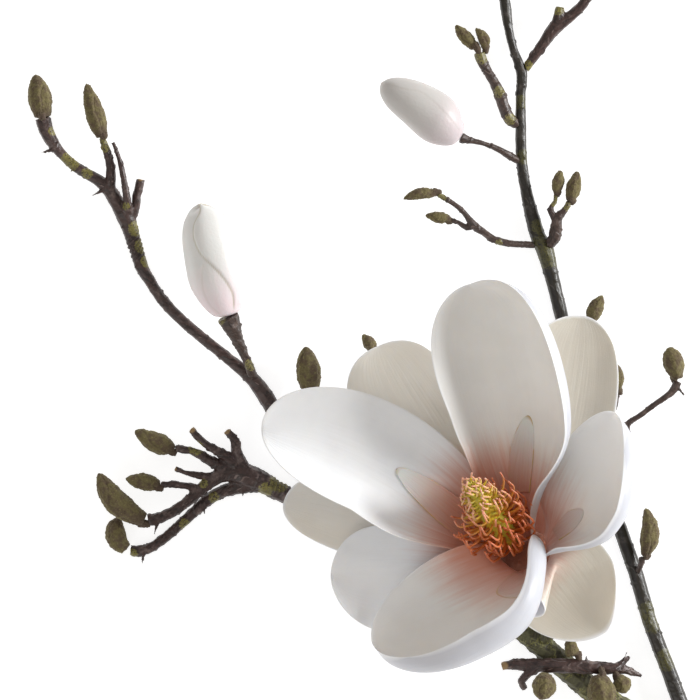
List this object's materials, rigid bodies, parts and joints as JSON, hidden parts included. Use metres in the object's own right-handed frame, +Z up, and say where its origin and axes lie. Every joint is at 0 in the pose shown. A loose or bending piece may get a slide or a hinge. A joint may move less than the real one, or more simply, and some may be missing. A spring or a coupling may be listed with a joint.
{
  "type": "magnolia branch",
  "caption": "Cut magnolia branch lying flat, with one open white flower, two white flower buds and green winter buds on bare brown twigs.",
  "frame": {"origin": "under the middle of the lying spray, on the surface it rests on", "axes": "+Y along the spray from the cut end of the stem to the tips, +Z up, the way the open flower faces, +X to the right seen from above"},
  "size_m": [0.2824, 0.352, 0.0682],
  "materials": {
    "petal_white": "soft satin white, blush at the claw",
    "petal_cream": "soft satin cream white",
    "tongue_blush": "satin white with ochre rim and blush foot",
    "bud_white": "soft satin white, pink at the foot",
    "stamen_yellow": "satin yellow with coral tips",
    "receptacle_green": "matt olive",
    "bud_down": "downy olive green, mottled",
    "bark_olive": "smooth olive brown bark",
    "bark_umber": "wrinkled umber bark with moss",
    "twig_brown": "red brown young bark"
  },
  "bodies": {
    "root": {"bottom_fan": "bark_umber", "bud_behind_back": "bud_down", "bud_behind_left": "bud_down", "bud_bottom_left": "bud_down", "bud_bottom_middle": "bud_down", "bud_bottom_right": "bud_down", "bud_east_a": "bud_down", "bud_east_b": "bud_down", "bud_fan_big": "bud_down", "bud_fan_low": "bud_down", "bud_fan_side": "bud_down", "bud_fan_west": "bud_down", "bud_leader": "bud_down", "bud_low_main": "bud_down", "bud_right_big": "bud_down", "bud_right_small": "bud_down", "bud_spur_left": "bud_down", "bud_spur_right": "bud_down", "bud_tip_a": "bud_down", "bud_tip_b": "bud_down", "bud_top_branch": "bud_down", "bud_top_right": "bud_down", "bud_west_a": "bud_down", "bud_west_b": "bud_down", "east_twig": "twig_brown", "flower_branch": "bark_olive", "flower_stalk": "bark_olive", "left_branch": "bark_umber", "left_fan": "bark_umber", "main_stem": "bark_olive", "petal_back_left": "petal_cream", "petal_back_right": "petal_cream", "petal_far_left": "petal_cream", "petal_front": "petal_white", "petal_left": "petal_white", "petal_low_left": "petal_cream", "petal_low_right": "petal_cream", "petal_right": "petal_white", "petal_top": "petal_white", "receptacle": "receptacle_green", "right_twig": "twig_brown", "scale_bottom": "bud_down", "stalk_back": "twig_brown", "stalk_left": "twig_brown", "stalk_low_main": "twig_brown", "stalk_right": "twig_brown", "stalk_top_right": "twig_brown", "stamen_cone": "stamen_yellow", "tongue_front": "tongue_blush", "tongue_left": "tongue_blush", "tongue_right": "tongue_blush", "tongue_top": "tongue_blush", "top_branch": "bark_umber", "upper_spur": "bark_umber", "west_twig": "twig_brown", "white_bud_left": "bud_white", "white_bud_stalk": "twig_brown", "white_bud_top": "bud_white", "white_bud_twig": "twig_brown"}
  },
  "joints": []
}
